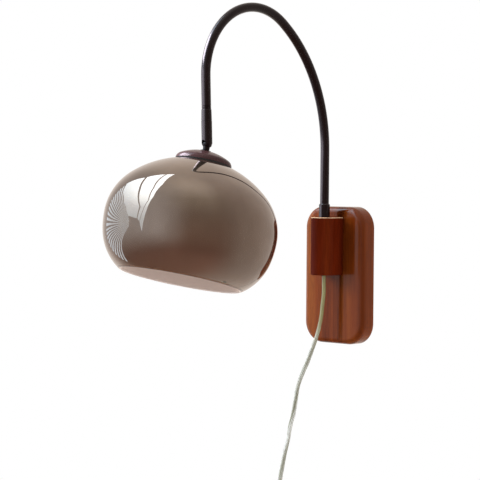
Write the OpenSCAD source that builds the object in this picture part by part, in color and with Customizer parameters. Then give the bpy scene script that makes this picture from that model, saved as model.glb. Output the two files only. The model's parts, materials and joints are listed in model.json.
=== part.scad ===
// Wall sconce: wood plate and block, bent swing arm, ball joint, smoked glass shade, cord, switch and plug.
// Millimetres, Z up. The wall is the plane y = 0 and the lamp stands out along -Y.
// The origin is the centre of the plate's back.

/* [Wall plate] */
// Width of the plate
plate_w = 105; // [96:1:130]
// Height of the plate
plate_h = 186; // [178:1:220]
// Thickness of the plate
plate_t = 24; // [20:1:30]
// Radius of the plate's corners
plate_corner_r = 29; // [20:1:34]
// Rounding of the plate's front rim
plate_rim_r = 8; // [3:0.5:12]

/* [Hanger] */
// Width of the hanger plate
hanger_w = 42; // [38:1:50]
// Height of the hanger plate
hanger_h = 27; // [25:1:32]
// Thickness of the hanger plate
hanger_t = 1.5; // [1:0.1:2.5]
// Top of the plate down to the middle of the hanger
hanger_drop = 21; // [18:1:26]
// Width of the keyhole's large end
key_head_d = 9; // [8:0.5:11]
// Width of the keyhole's slot
key_slot_w = 4.6; // [4:0.1:5.5]
// Travel of the screw along the keyhole
key_travel = 9; // [7:0.5:10]
// Depth of the relief in the wood behind the keyhole
key_relief = 7; // [5:0.5:10]
// Spacing of the hanger's screws
hanger_screw_gap = 31; // [27:1:34]
// Length of a hanger screw
hanger_screw_len = 14; // [10:1:17]

/* [Arm block] */
// Width of the block, twice the radius of its round front
block_w = 36; // [34:0.5:44]
// Height of the block
block_h = 78; // [72:1:90]
// Top of the plate down to the top of the block
block_drop = 14; // [10:1:20]
// Chamfer on the block's edges
block_edge = 1; // [0.5:0.1:2]
// Wall to the axis of the arm
axis_out = 42; // [40:0.5:48]
// Distance between the two columns of block screws
block_screw_gap_x = 26; // [25:0.5:29]
// Distance between the two rows of block screws
block_screw_gap_z = 30; // [24:1:36]
// Bottom of the block up to the lower row of block screws
block_screw_up = 15; // [10:1:20]
// Depth that the block screw heads are sunk in the plate's back
block_screw_sink = 6; // [4:0.5:9]
// Length of a block screw
block_screw_len = 30; // [26:1:32]

/* [Arm pivot] */
// Outer diameter of the arm tube
tube_d = 12; // [11:0.5:13]
// Wall of the arm tube
tube_wall = 1; // [0.8:0.1:1.2]
// Wall of the pivot bush
bush_wall = 1.2; // [1:0.1:1.5]
// Length of the pivot bush
bush_len = 42; // [36:1:46]
// Outer diameter of the arm collar
collar_d = 14.8; // [14.5:0.1:18]
// Height of the arm collar
collar_h = 18; // [12:0.5:24]
// Chamfer on top of the arm collar
collar_edge = 1.2; // [0.5:0.1:1.4]
// Diameter of the collar's set screw
set_screw_d = 4; // [3:0.5:5]
// Diameter of the well under the bush
well_d = 22; // [21.5:0.5:23]
// Diameter of the pivot washer
washer_d = 20; // [18:0.5:20.5]
// Thickness of the pivot washer
washer_t = 1.2; // [1:0.1:2]
// Height of the dished spring washer
spring_h = 1.6; // [1.2:0.1:2.2]
// Thickness of the spring washer's sheet
spring_t = 0.8; // [0.6:0.1:1]
// Width of the arm nut across its flats
arm_nut_af = 16; // [15:0.5:17]
// Height of the arm nut
arm_nut_h = 6; // [4:0.5:8]
// Tube left showing below the nut
tube_tip = 2; // [1:0.5:3]
// Height of the cord bushing
cord_bushing_h = 8; // [6:0.5:10]

/* [Arm curve] */
// Straight rise of the tube above the block
arm_rise = 90; // [70:1:120]
// Radius of the long bend
bend_r1 = 203; // [160:1:220]
// Angle of the long bend
bend_a1 = 55; // [50:1:65]
// Radius of the crook
bend_r2 = 89.5; // [70:0.5:100]
// Lean of the tube's end past the vertical
arm_lean = 2; // [0:0.5:4]
// Straight tube after the crook
arm_tail = 35.5; // [30:0.5:50]

/* [Head joint] */
// Tube's end to the centre of the ball
joint_len = 50; // [48:0.5:60]
// Height of the lock ring
lock_ring_h = 6; // [5:0.5:7]
// Height of the coupling
coupling_h = 14; // [12:0.5:16]
// Diameter of the coupling
coupling_d = 12.8; // [12.5:0.1:13.4]
// Outer diameter of the joint sleeve
sleeve_d = 13.6; // [13.4:0.1:15]
// Wall of the joint sleeve
sleeve_wall = 1; // [0.9:0.05:1.1]
// Diameter of the ball
ball_d = 11.2; // [11:0.1:11.3]
// Diameter of the neck under the ball
neck_d = 8.6; // [8:0.1:8.8]
// Bore through ball and stem
stem_bore = 6.6; // [6.4:0.1:6.8]
// Diameter of the threaded stem and nipple
thread_d = 9.9; // [9.8:0.1:10]
// Ball's centre to the top of the cap
neck_len = 9.4; // [9:0.1:12]
// Turn of the sleeve in the rest pose
head_turn = -4.5; // [-20:0.5:20]
// Tilt of the head from the tube in the rest pose
head_tilt = 16; // [0:0.5:60]

/* [Shade] */
// Largest diameter of the glass
shade_d = 220; // [200:1:240]
// Widest plane up to the top of the glass
shade_up = 87; // [80:1:92]
// Radius of the upper shoulder
shoulder_r = 72; // [60:1:74]
// Widest plane down to the mouth
shade_down = 68; // [62:1:78]
// Diameter of the mouth
mouth_d = 156; // [150:1:172]
// Radius of the flank under the widest plane
flank_r = 118; // [105:1:140]
// Angle that the flank runs through
flank_deg = 13; // [10:1:18]
// Thickness of the glass
glass_t = 3; // [2.4:0.1:4]
// Diameter of the hole in the top of the glass
glass_hole_d = 42; // [38:1:46]
// Diameter of the cap
cap_d = 72; // [66:1:78]
// Radius of the cap's round shoulder
cap_edge_r = 8; // [5:0.5:9]
// Radius of the flat on top of the cap
cap_land_r = 7.2; // [7:0.1:9]
// Height of the cap
cap_h = 14.8; // [12:0.2:15.2]
// Thickness of the cap's sheet
cap_t = 1; // [0.8:0.1:1.4]
// Thickness of the gasket under the cap
gasket_t = 1.1; // [0.8:0.1:2]
// Width of the gasket under the cap
gasket_w = 2; // [1.5:0.1:3]
// Diameter of the clamp disc inside the glass
disc_d = 60; // [54:1:66]
// Thickness of the clamp disc
disc_t = 1.5; // [1.2:0.1:2]
// Thickness of the gasket on the clamp disc
disc_gasket_t = 1; // [0.8:0.1:1.5]
// Width of the stem nut across its flats
stem_nut_af = 17; // [15:0.5:19]
// Height of the stem nut
stem_nut_h = 5; // [4:0.5:6]

/* [Lampholder and bulb] */
// Diameter of the lampholder
holder_d = 40; // [39:0.5:44]
// Height of the lampholder's cap
holder_cap_h = 14; // [13:0.5:18]
// Height of the lampholder's body
holder_body_h = 38; // [36:1:44]
// Wall of the lampholder
holder_wall = 2.4; // [2:0.1:2.6]
// Height of the insert
insert_h = 11; // [9:0.5:13]
// Inner diameter of the screw shell
shell_d = 27.2; // [27:0.1:27.4]
// Thickness of the screw shell
shell_t = 0.5; // [0.4:0.1:0.7]
// Height of the screw shell
shell_h = 22; // [20:0.5:24]
// Diameter of the bulb's screw base
bulb_base_d = 26.4; // [26:0.1:26.6]
// Height of the bulb's screw base
bulb_base_h = 20; // [18:0.5:22]
// Diameter of the bulb
bulb_d = 60; // [56:1:62]
// Thickness of the bulb's glass
bulb_t = 1; // [0.8:0.1:1.5]
// End of the screw base to the middle of the bulb
bulb_reach = 45; // [42:1:48]

/* [Cord, switch and plug] */
// Diameter of the cord
cord_d = 6; // [5.4:0.1:6.2]
// Spread of the two conductors in the inner lead
lead_spread = 2.9; // [2.7:0.05:3]
// Diameter of one conductor in the inner lead
lead_d = 3; // [2.8:0.05:3.1]
// Length of the switch without its necks
switch_len = 62; // [58:1:70]
// Width of the switch
switch_w = 24; // [22:0.5:28]
// Depth of the switch
switch_dep = 19; // [18:0.5:22]
// Diameter of the switch's necks
switch_neck_d = 9; // [8:0.5:11]
// Length of a neck
switch_neck_len = 4; // [3:0.5:6]
// Length of the rocker
rocker_len = 21; // [18:0.5:23]
// Width of the rocker
rocker_w = 10.4; // [9:0.1:12]
// Rest angle of the rocker, off side down
rocker_rest = 7; // [5:0.5:8]
// Step between the turns and between the layers of the coil
coil_step = 6.5; // [6.45:0.05:8]
// Radius of the coil's outermost turn
coil_r = 45; // [43:1:52]
// Turns that the coil spirals in
coil_turns_in = 3; // [2:1:4]
// Thickness of the tie round the coil
tie_t = 1; // [0.8:0.1:1.5]
// Width of the tie
tie_w = 8; // [5:0.5:10]
// Length of the plug's body
plug_len = 38; // [34:1:44]
// Width of the plug's body
plug_w = 35; // [32:0.5:40]
// Depth of the plug's body
plug_dep = 14; // [13:0.5:18]
// Diameter of a plug pin
pin_d = 4; // [3.9:0.1:4.9]
// Length of a plug pin
pin_len = 19; // [17:0.5:20]
// Spacing of the plug pins
pin_gap = 19; // [18:0.1:20]

/* [Clearances] */
// Gap between pieces that are pressed or screwed together
fit_gap = 0.05; // [0.02:0.01:0.08]
// Gap between pieces that turn on each other
run_gap = 0.1; // [0.08:0.01:0.12]
// Gap round parts that pass freely
free_gap = 0.4; // [0.3:0.05:0.5]

/* [Hidden] */
$fn = 72;
over = 1;
// Small chamfer that breaks a turned edge
break_edge = 0.4;
// Countersunk wood screws
head_h = 2.4;
head_r = 3.8;
shank_r = 1.9;
screw_point = 4;

// Heights on the wall side
hanger_z = plate_h / 2 - hanger_drop;
block_top = plate_h / 2 - block_drop;
block_z0 = block_top - block_h;
tube_r = tube_d / 2;
bush_r = tube_r + run_gap + bush_wall;
bush_z0 = block_top - bush_len;
washer_z0 = bush_z0 - run_gap - washer_t;
spring_z0 = washer_z0 - spring_h;
nut_z0 = spring_z0 - arm_nut_h;
tube_z0 = nut_z0 - tube_tip;

// Centres and ends of the arm's bends, as places in the plane x = 0
bend_a2 = 180 + arm_lean - bend_a1;
c1 = [0, -axis_out - bend_r1, block_top + arm_rise];
c2 = c1 + (bend_r1 - bend_r2) * [0, cos(bend_a1), sin(bend_a1)];
end_a = bend_a1 + bend_a2;
tail_top = c2 + bend_r2 * [0, cos(end_a), sin(end_a)];
down = [0, -sin(end_a), cos(end_a)];
ball_at = tail_top + (arm_tail + joint_len) * down;
arm_tube_end = joint_len;

// Heights in the joint, from the ball's centre up along the tube
thread_r = thread_d / 2;
lock_z0 = arm_tube_end - lock_ring_h;
coupling_z0 = lock_z0 - coupling_h;
sleeve_r = sleeve_d / 2;
sleeve_bore = sleeve_r - sleeve_wall;
spigot_r = sleeve_bore - run_gap;
spigot_len = 9;
ball_r = ball_d / 2;
neck_r = neck_d / 2;
slot_half = neck_r + 0.35;
lip_r = neck_r + 0.4;
lead_half = (lead_spread + lead_d) / 2;
seat_z = ball_r * 0.6;
seat_h = 10;
clip_r = 0.45;
clip_z = coupling_z0 - 5;

// Heights in the head, from the ball's centre down along the shade's axis
cap_land_z = -neck_len;
cap_rim_z = cap_land_z - cap_h;
cap_r = cap_d / 2;
// The cap's dome starts at the edge of its flat and runs into the shoulder without a kink
cap_lean = cap_edge_r / cap_h;
cap_base = (cap_h + cap_r * (cap_r - 2 * cap_edge_r) / cap_h - cap_land_r * cap_land_r / cap_h) / 2;
cap_root = sqrt(cap_base * cap_base + (1 - cap_lean * cap_lean) * cap_land_r * cap_land_r);
cap_dome_r = (cap_base * cap_lean + cap_root) / (1 - cap_lean * cap_lean);
cap_c_z = cap_land_z - cap_base - cap_lean * cap_dome_r;
cap_join = (cap_r - cap_edge_r) / (cap_dome_r - cap_edge_r);
flange_r = cap_land_r - 0.2;

// Arcs of the glass: dome, shoulder, flank and hem meet tangentially
shade_r = shade_d / 2;
shoulder_x = shade_r - shoulder_r;
dome_r = (pow(shoulder_x, 2) + pow(shade_up, 2) - pow(shoulder_r, 2)) / (2 * (shade_up - shoulder_r));
gasket_r = cap_r - gasket_w / 2;
glass_top_z = cap_rim_z - gasket_t + dome_r - sqrt(dome_r * dome_r - gasket_r * gasket_r);
dome_c_z = glass_top_z - dome_r;
wide_z = glass_top_z - shade_up;
dome_a = atan2(dome_r - shade_up, shoulder_x);
flank_end = [shade_r - flank_r + flank_r * cos(flank_deg), flank_r * sin(flank_deg)];
hem_dx = mouth_d / 2 - flank_end[0];
hem_dy = shade_down - flank_end[1];
hem_r = -(hem_dx * hem_dx + hem_dy * hem_dy) / (2 * (hem_dx * cos(flank_deg) + hem_dy * sin(flank_deg)));
hem_c = [flank_end[0] - hem_r * cos(flank_deg), -flank_end[1] + hem_r * sin(flank_deg)];
arc_steps = 12;
inner_r = dome_r - glass_t;
disc_top_r = inner_r - fit_gap - disc_gasket_t - fit_gap;
boss_r = stem_nut_af / 2 + 1;
disc_z0 = dome_c_z + disc_top_r - disc_t - 0.6;
stem_nut_z0 = disc_z0 - stem_nut_h;
holder_z = stem_nut_z0;
holder_r = holder_d / 2;
holder_in = holder_r - holder_wall;
body_z = holder_z - holder_cap_h;
holder_boss_r = 9;
holder_boss_h = 3;
holder_shoulder = 4;
holder_bend_z = holder_z - 2 * holder_boss_h - holder_shoulder;
holder_roof_z = holder_z - 2 * holder_boss_h - holder_wall;
stem_end_z = holder_roof_z + 0.4;
insert_z0 = body_z - insert_h;
shell_r = shell_d / 2;
contact_t = 1.6;
bulb_tip_z = insert_z0 - contact_t;
bulb_base_z = bulb_tip_z - 4.5;
bulb_neck_z = bulb_base_z - bulb_base_h;
bulb_c_z = bulb_neck_z - bulb_reach;
// The neck's cone leaves the sphere at this angle above its middle
bulb_flare_a = 29;
bulb_flare_z = sin(bulb_flare_a) * bulb_d / 2;
bulb_flare_r = cos(bulb_flare_a) * bulb_d / 2 - 0.1;

// Free cord: places chosen along its hang, from the block's bottom to the switch
cord_r = cord_d / 2;
cord_at = [0, -axis_out, block_z0];
DROP = [
  [0, 0, 0], [0, 0, -12], [0, 0, -26], [-1, -1, -40], [-2, -2, -55], [-4, -4, -70], [-7, -7, -86],
  [-11, -11, -102], [-15, -15, -118], [-20, -20, -135], [-24, -24, -152], [-26, -26, -170], [-28, -28, -188],
  [-31, -31, -206], [-33, -33, -224], [-36, -36, -242], [-38, -38, -258], [-40, -40, -275], [-41, -41, -290],
  [-41, -41, -302], [-41, -41, -313]
];
switch_top = cord_at + DROP[len(DROP) - 1];
switch_full = switch_len + 2 * switch_neck_len;
switch_c = switch_top - [0, 0, switch_full / 2];
switch_end = switch_top - [0, 0, switch_full];
rocker_out = 5.5;

// Coil of the cord that is put away
coil_lead = 38;
coil_out = coil_turns_in - 0.5;
coil_sum = coil_turns_in + 0.5 + coil_out;
coil_mid = coil_turns_in + 0.25;
coil_c = switch_end + [coil_r, 0, -coil_lead];
function coil_rad(t) = t <= coil_mid ? coil_r - coil_step * t : coil_r - coil_step * (2 * coil_mid - t);
function coil_lift(t) = coil_step * min(1, max(0, (t - coil_turns_in) / 0.5));
function coil_pt(t) =
  let (a = 180 + 360 * t, r = coil_rad(t))
  coil_c + [r * cos(a), coil_lift(t), r * sin(a)];
coil_rings = 24;
coil_last = coil_pt(coil_sum);
coil_tail = 40;
plug_top = coil_last - [0, 0, coil_tail];
COIL = concat(
  [switch_end, switch_end - [0, 0, cord_d], switch_end - [0, 0, coil_lead / 2]],
  [for (k = [0 : coil_sum * coil_rings]) coil_pt(k / coil_rings)],
  [for (part = [1, 2]) coil_last - [0, 0, part * coil_tail / 3]],
  [plug_top + [0, 0, cord_d], plug_top]
);
coil_skip = 8;
coil_end = len(COIL) - 1;
coil_spans = [for (i = [0 : coil_end]) for (j = [i + coil_skip : 1 : coil_end]) norm(COIL[i] - COIL[j])];
echo(coil_least_gap = min(coil_spans) - cord_d);  // cord_coil

// Swept tube through a list of places. The route never follows the direction ref, along which flat widens it.
function unit(v) = v / norm(v);
function run_dir(p, i) = unit(p[min(i + 1, len(p) - 1)] - p[max(i - 1, 0)]);
function ring_at(p, i, r, n, ref, flat) =
  let (t = run_dir(p, i), u = unit(cross(t, ref)), w = flat * cross(t, u))
  [for (k = [0 : n - 1]) p[i] + r * (cos(360 * k / n) * u + sin(360 * k / n) * w)];
module swept(p, r, n, ref, flat = 1) {
  m = len(p);
  pts = concat([for (i = [0 : m - 1]) each ring_at(p, i, r, n, ref, flat)], [p[0], p[m - 1]]);
  side = [for (i = [0 : m - 2]) for (k = [0 : n - 1]) let (a = i * n + k, b = i * n + (k + 1) % n)
    each [[a, a + n, b], [b, a + n, b + n]]];
  last = (m - 1) * n;
  ends = [for (k = [0 : n - 1]) let (next = (k + 1) % n)
    each [[m * n, k, next], [m * n + 1, last + next, last + k]]];
  polyhedron(points = pts, faces = concat(side, ends), convexity = 6);
}

// Frames that the pieces are drawn in
module from_wall() rotate([90, 0, 0]) children();
module on_axis() translate([0, -axis_out, 0]) children();
module in_joint() translate(ball_at) rotate([arm_lean, 0, 0]) rotate([0, 0, head_turn]) children();
module in_head() in_joint() rotate([-head_tilt, 0, 0]) children();
module at_tail() translate(ball_at) rotate([arm_lean, 0, 0]) children();

// Flat shapes
module rrect(w, h, r) {
  square([w - 2 * r, h], center = true);
  square([w, h - 2 * r], center = true);
  for (x = [-1, 1]) for (y = [-1, 1]) translate([x * (w / 2 - r), y * (h / 2 - r)]) circle(r);
}
module band(r0, r1, z0, z1) translate([r0, z0]) square([r1 - r0, z1 - z0]);
module wood_screw(length, gap = 0) rotate_extrude() polygon([
  [0, 0], [head_r + gap, 0], [shank_r + gap, -head_h], [shank_r + gap, -length + screw_point],
  [0.2, -length - gap], [0, -length - gap]
]);

// Wall plate
module plate_edge() difference() {
  square([plate_corner_r, plate_t]);
  translate([plate_corner_r - plate_rim_r, plate_t - plate_rim_r]) difference() {
    square(plate_rim_r + over);
    circle(plate_rim_r);
  }
}
module plate_body() {
  lx = plate_w / 2 - plate_corner_r;
  ly = plate_h / 2 - plate_corner_r;
  translate([-lx, -ly, 0]) cube([2 * lx, 2 * ly, plate_t]);
  for (s = [0, 1]) mirror([s, 0, 0]) translate([lx, ly, 0])
    rotate([90, 0, 0]) linear_extrude(2 * ly) plate_edge();
  for (s = [0, 1]) mirror([0, s, 0]) translate([-lx, ly, 0])
    rotate([90, 0, 90]) linear_extrude(2 * lx) plate_edge();
  for (sx = [0, 1]) for (sy = [0, 1]) mirror([sx, 0, 0]) mirror([0, sy, 0]) translate([lx, ly, 0])
    rotate_extrude(angle = 90) plate_edge();
}
module hanger_shape(gap) translate([0, hanger_z]) rrect(hanger_w + 2 * gap, hanger_h + 2 * gap, 4 + gap);
module at_block_screws() for (x = [-1, 1]) for (k = [0, 1])
  translate([x * block_screw_gap_x / 2, block_z0 + block_screw_up + k * block_screw_gap_z, block_screw_sink])
    mirror([0, 0, 1]) children();
module at_hanger_screws() for (x = [-1, 1])
  translate([x * hanger_screw_gap / 2, hanger_z, 0]) mirror([0, 0, 1]) children();
key_z = hanger_z - key_travel / 2;
key_relief_r = key_head_d / 2 + 1.5;
module wall_plate() color("sienna") from_wall() difference() {
  plate_body();
  translate([0, 0, -over]) linear_extrude(over + hanger_t + fit_gap) hanger_shape(fit_gap);
  translate([0, key_z, 0]) linear_extrude(hanger_t + key_relief) {
    circle(key_relief_r);
    translate([-key_relief_r, 0]) square([2 * key_relief_r, key_travel]);
    translate([0, key_travel]) circle(key_relief_r);
  }
  at_hanger_screws() wood_screw(hanger_screw_len, fit_gap);
  at_block_screws() wood_screw(block_screw_len, fit_gap);
  at_block_screws() cylinder(r = head_r + free_gap, h = block_screw_sink + over);
}
module hanger_plate() color("silver") from_wall() difference() {
  linear_extrude(hanger_t) difference() {
    hanger_shape(0);
    translate([0, key_z]) circle(key_head_d / 2);
    translate([-key_slot_w / 2, key_z]) square([key_slot_w, key_travel]);
    translate([0, key_z + key_travel]) circle(key_slot_w / 2);
  }
  at_hanger_screws() wood_screw(hanger_screw_len, fit_gap);
}
module hanger_screws() color("gainsboro") from_wall() at_hanger_screws() wood_screw(hanger_screw_len);
module block_screws() color("gainsboro") from_wall() at_block_screws() wood_screw(block_screw_len);

// Arm block and pivot
module block_side() {
  r = block_w / 2;
  e = block_edge;
  polygon([[0, 0], [r - e, 0], [r, e], [r, block_h - e], [r - e, block_h], [0, block_h]]);
}
module arm_block() color("saddlebrown") difference() {
  on_axis() translate([0, 0, block_z0]) {
    rotate([0, 0, 180]) rotate_extrude(angle = 180) block_side();
    translate([0, axis_out - plate_t, 0]) rotate([90, 0, 0]) linear_extrude(axis_out - plate_t) {
      block_side();
      mirror([1, 0]) block_side();
    }
  }
  on_axis() translate([0, 0, block_z0 - over]) cylinder(r = well_d / 2, h = bush_z0 - block_z0 + over);
  on_axis() translate([0, 0, block_z0]) cylinder(r = bush_r + fit_gap, h = block_h + over);
  from_wall() at_block_screws() wood_screw(block_screw_len, fit_gap);
}
module pivot_bush() color("goldenrod") on_axis()
  rotate_extrude() band(tube_r + run_gap, bush_r, bush_z0, block_top);
module cord_bushing() color("dimgray") on_axis() rotate_extrude() {
  r = well_d / 2 - fit_gap;
  top = block_z0 + cord_bushing_h;
  polygon([[cord_r + fit_gap, block_z0], [r, block_z0], [r, top - 1], [r - 1, top], [cord_r + fit_gap, top]]);
}
module lead_shape() for (s = [-1, 1]) translate([0, s * lead_spread / 2]) circle(lead_d / 2);
module cord_tail() color("khaki") on_axis() translate([0, 0, block_z0])
  linear_extrude(tube_z0 - block_z0 - free_gap) rotate(90) lead_shape();

// Arm
core_len = 2;
core_in = 0.2;
module tube_shape(inset = 0) difference() {
  circle(tube_r - inset);
  circle(tube_r - tube_wall + inset);
}
module in_arm_plane(c, a) translate(c) rotate([90, 0, 90]) rotate(a) children();
module arm_tube() color("dimgray") {
  on_axis() translate([0, 0, tube_z0]) linear_extrude(block_top + arm_rise - tube_z0) tube_shape();
  in_arm_plane(c1, 0) rotate_extrude(angle = bend_a1, $fn = 180) translate([bend_r1, 0]) tube_shape();
  in_arm_plane(c2, bend_a1) rotate_extrude(angle = bend_a2, $fn = 180) translate([bend_r2, 0]) tube_shape();
  at_tail() translate([0, 0, arm_tube_end]) linear_extrude(arm_tail) tube_shape();
  // A short core inside the wall carries it across each tangent point
  for (j = [[c1, 0, bend_r1], [c1, bend_a1, bend_r1], [c2, end_a, bend_r2]])
    in_arm_plane(j[0], j[1]) translate([j[2], core_len / 2, 0])
      rotate([90, 0, 0]) linear_extrude(core_len) tube_shape(core_in);
}
// The lead follows the tube's middle line, flat across the arm's plane
lead_steps = 14;
function bend_pt(c, r, a) = c + r * [0, cos(a), sin(a)];
lead_top = [0, -axis_out, tube_z0];
lead_end = ball_at - (coupling_z0 - spigot_len) * down;
LEAD = concat(
  [lead_top, [0, -axis_out, (tube_z0 + c1[2]) / 2]],
  [for (k = [0 : lead_steps]) bend_pt(c1, bend_r1, bend_a1 * k / lead_steps)],
  [for (k = [1 : lead_steps]) bend_pt(c2, bend_r2, bend_a1 + bend_a2 * k / lead_steps)],
  [(tail_top + lead_end) / 2, lead_end]
);
module arm_lead() color("khaki") swept(LEAD, lead_d / 2, 12, [1, 0, 0], lead_half / (lead_d / 2));
collar_z0 = block_top + run_gap;
set_screw_z = collar_z0 + collar_h / 2;
module at_set_screw() on_axis() translate([0, 0, set_screw_z]) rotate([-90, 0, 0]) children();
module collar_shape() {
  r = collar_d / 2;
  bore = tube_r + fit_gap;
  top = collar_z0 + collar_h;
  edge = min(collar_edge, r - bore - fit_gap);
  polygon([[bore, collar_z0], [r, collar_z0], [r, top - edge], [r - edge, top], [bore, top]]);
}
module arm_collar() color("dimgray") difference() {
  on_axis() rotate_extrude() collar_shape();
  at_set_screw() cylinder(r = set_screw_d / 2 + fit_gap, h = collar_d);
}
module collar_set_screw() color("gray") intersection() {
  at_set_screw() cylinder(r = set_screw_d / 2, h = collar_d);
  on_axis() rotate_extrude() collar_shape();
}
module pivot_washer() color("silver") on_axis()
  rotate_extrude() band(tube_r + fit_gap, washer_d / 2, washer_z0, washer_z0 + washer_t);
module spring_washer() color("gray") on_axis() translate([0, 0, spring_z0]) rotate_extrude() polygon([
  [tube_r + fit_gap, spring_h - spring_t], [tube_r + fit_gap, spring_h], [tube_r + 1, spring_h],
  [washer_d / 2 - 1, spring_t], [washer_d / 2 - 1, 0], [washer_d / 2 - 2, 0]
]);
module arm_nut() color("silver") on_axis() translate([0, 0, nut_z0]) difference() {
  cylinder(r = arm_nut_af / 2 / cos(30), h = arm_nut_h, $fn = 6);
  translate([0, 0, -over]) cylinder(r = tube_r + fit_gap, h = arm_nut_h + 2 * over);
}

// Head end of the arm
nipple_r = tube_r - tube_wall - fit_gap;
nipple_bore = 3.6;
nipple_z0 = coupling_z0 + 4;
nipple_grip = 12;
module joint_nipple() color("gold") at_tail()
  rotate_extrude() band(nipple_bore, nipple_r, nipple_z0, arm_tube_end + nipple_grip);
ring_grooves = 3;
module lock_ring() color("dimgray") at_tail() rotate_extrude() difference() {
  band(nipple_r + fit_gap, tube_r + fit_gap, lock_z0, arm_tube_end);
  for (k = [1 : ring_grooves])
    translate([tube_r + fit_gap, lock_z0 + lock_ring_h * k / (ring_grooves + 1)]) circle(break_edge, $fn = 4);
}
module joint_coupling() color("dimgray") at_tail() rotate_extrude() difference() {
  union() {
    polygon([[nipple_bore, coupling_z0], [sleeve_r - run_gap, coupling_z0],
      [coupling_d / 2, lock_z0 - break_edge], [coupling_d / 2 - break_edge, lock_z0], [nipple_bore, lock_z0]]);
    band(nipple_bore, spigot_r, coupling_z0 - spigot_len, coupling_z0 + over);
  }
  band(0, nipple_r + fit_gap, nipple_z0, lock_z0 + over);
  translate([spigot_r, clip_z]) square([2 * clip_r, 2 * clip_r + 2 * fit_gap], center = true);
}
module swivel_clip() color("silver") at_tail() translate([0, 0, clip_z]) rotate_extrude(angle = 330)
  translate([spigot_r + fit_gap, 0]) circle(clip_r);

// Joint sleeve, turning on the coupling
sleeve_top = coupling_z0 - run_gap;
sleeve_end = -3.5;
sleeve_cone_h = 4.5;
sleeve_lip = 0.5;
module joint_sleeve() color("dimgray") in_joint() difference() {
  rotate_extrude() difference() {
    polygon([[lip_r, sleeve_end], [lip_r + sleeve_lip, sleeve_end], [sleeve_r, sleeve_end + sleeve_cone_h],
      [sleeve_r, sleeve_top - break_edge], [sleeve_r - break_edge, sleeve_top], [lip_r, sleeve_top]]);
    band(0, sleeve_bore, 0, sleeve_top + over);
    translate([sleeve_bore, clip_z]) square([2 * clip_r + free_gap, 2 * clip_r + free_gap], center = true);
    circle(ball_r + run_gap);
  }
  neck_slot();
}
// Slot that the neck swings through, with a drilled end
slot_top_z = 1;
module neck_slot() rotate([90, 0, 0]) linear_extrude(2 * sleeve_r) {
  band(-slot_half, slot_half, sleeve_end - over, slot_top_z);
  translate([0, slot_top_z]) circle(slot_half + 0.15);
}
module ball_seat() color("gold") in_joint() difference() {
  rotate_extrude() difference() {
    band(stem_bore / 2, sleeve_bore - fit_gap, seat_z, seat_z + seat_h);
    circle(ball_r + run_gap);
  }
  neck_slot();
}
joint_lead_z0 = ball_r + run_gap;
module joint_lead() color("khaki") in_joint() translate([0, 0, joint_lead_z0])
  linear_extrude(coupling_z0 - spigot_len - free_gap - joint_lead_z0) rotate(90) lead_shape();

// Head: ball and stem, cap and glass
flange_t = 0.9;
neck_end_z = -sleeve_r - 2 * break_edge;
module joint_ball() color("silver") in_head() difference() {
  union() {
    sphere(ball_r);
    rotate_extrude() polygon([
      [0, 0], [neck_r, 0], [neck_r, neck_end_z], [flange_r, cap_land_z + flange_t], [flange_r, cap_land_z],
      [thread_r, cap_land_z], [thread_r, stem_end_z], [0, stem_end_z]
    ]);
  }
  translate([0, 0, stem_end_z - over]) cylinder(r = stem_bore / 2, h = -stem_end_z + ball_r + 2 * over);
}
module cap_form(depth) {
  intersection() {
    translate([0, cap_c_z]) circle(cap_dome_r - depth, $fn = 180);
    band(0, cap_join * (cap_dome_r - depth), cap_rim_z, cap_land_z);
  }
  intersection() {
    translate([cap_r - cap_edge_r, cap_rim_z]) circle(cap_edge_r - depth, $fn = 180);
    band(cap_r - cap_edge_r, cap_r, cap_rim_z, cap_land_z);
  }
}
module shade_cap() color("saddlebrown") in_head() rotate_extrude() difference() {
  cap_form(0);
  cap_form(cap_t);
  band(0, thread_r + fit_gap, cap_rim_z, cap_land_z);
}
module cap_gasket() color("black") in_head() rotate_extrude() difference() {
  band(cap_r - gasket_w, cap_r, cap_rim_z - gasket_t - gasket_w, cap_rim_z);
  translate([0, dome_c_z]) circle(dome_r + fit_gap, $fn = 360);
}
// Line down the glass at a depth under its outer face, from the hole to the mouth
function arc_pts(c, r, a0, a1) = [for (k = [0 : arc_steps])
  let (a = a0 + (a1 - a0) * k / arc_steps) c + r * [cos(a), sin(a)]];
function glass_line(depth) = concat(
  arc_pts([0, shade_up - dome_r], dome_r - depth, acos(glass_hole_d / 2 / (dome_r - depth)), dome_a),
  arc_pts([shoulder_x, 0], shoulder_r - depth, dome_a, 0),
  arc_pts([shade_r - flank_r, 0], flank_r - depth, 0, -flank_deg),
  arc_pts(hem_c, hem_r - depth, -flank_deg, atan2(-shade_down - hem_c[1], mouth_d / 2 - hem_c[0]))
);
function backward(p) = [for (k = [len(p) - 1 : -1 : 0]) p[k]];
module shade_glass() color("tan", 0.6) in_head() translate([0, 0, wide_z]) rotate_extrude($fn = 120)
  polygon(concat(glass_line(0), backward(glass_line(glass_t))));
module inner_gasket() color("black") in_head() rotate_extrude() intersection() {
  translate([0, dome_c_z]) difference() {
    circle(inner_r - fit_gap, $fn = 360);
    circle(disc_top_r + fit_gap, $fn = 360);
  }
  band(glass_hole_d / 2 + 1, disc_d / 2, disc_z0 - 20, glass_top_z);
}
module clamp_disc() color("silver") in_head() rotate_extrude() difference() {
  union() {
    intersection() {
      translate([0, dome_c_z]) difference() {
        circle(disc_top_r, $fn = 360);
        circle(disc_top_r - disc_t, $fn = 360);
      }
      band(0, disc_d / 2, disc_z0 - 20, glass_top_z);
    }
    intersection() {
      translate([0, dome_c_z]) circle(disc_top_r, $fn = 360);
      band(0, boss_r, disc_z0, glass_top_z);
    }
  }
  band(0, thread_r + fit_gap, disc_z0 - over, glass_top_z);
}
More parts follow.
